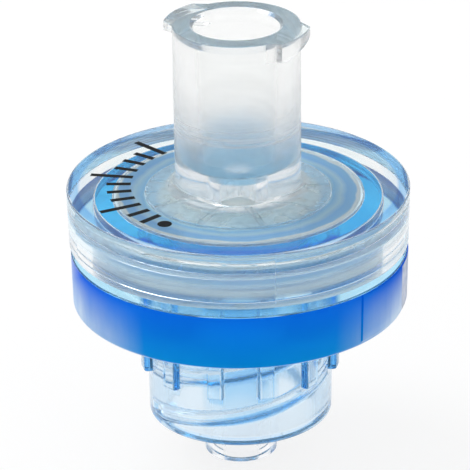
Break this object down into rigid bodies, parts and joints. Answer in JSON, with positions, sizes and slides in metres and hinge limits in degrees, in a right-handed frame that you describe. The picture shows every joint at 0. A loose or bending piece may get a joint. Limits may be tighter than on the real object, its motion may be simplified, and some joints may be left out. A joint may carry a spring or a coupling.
{
  "type": "syringe filter",
  "caption": "Round disc filter for a syringe: female Luer hub with locking lugs above, male Luer nose inside a threaded locking collar below.",
  "frame": {"origin": "middle of the end face of the male Luer nose, the filter's lowest point", "axes": "+Z along the flow axis, from the male Luer nose up to the female Luer hub; -Y is the front"},
  "size_m": [0.0182, 0.0183, 0.0249],
  "materials": {
    "clear_plastic": "clear moulded plastic, polished",
    "filter_membrane": "matte white porous film",
    "blue_plastic": "blue-tinted translucent moulded plastic, polished"
  },
  "bodies": {
    "root": {"inlet_housing": "clear_plastic", "membrane": "filter_membrane", "outlet_housing": "blue_plastic"}
  },
  "joints": []
}
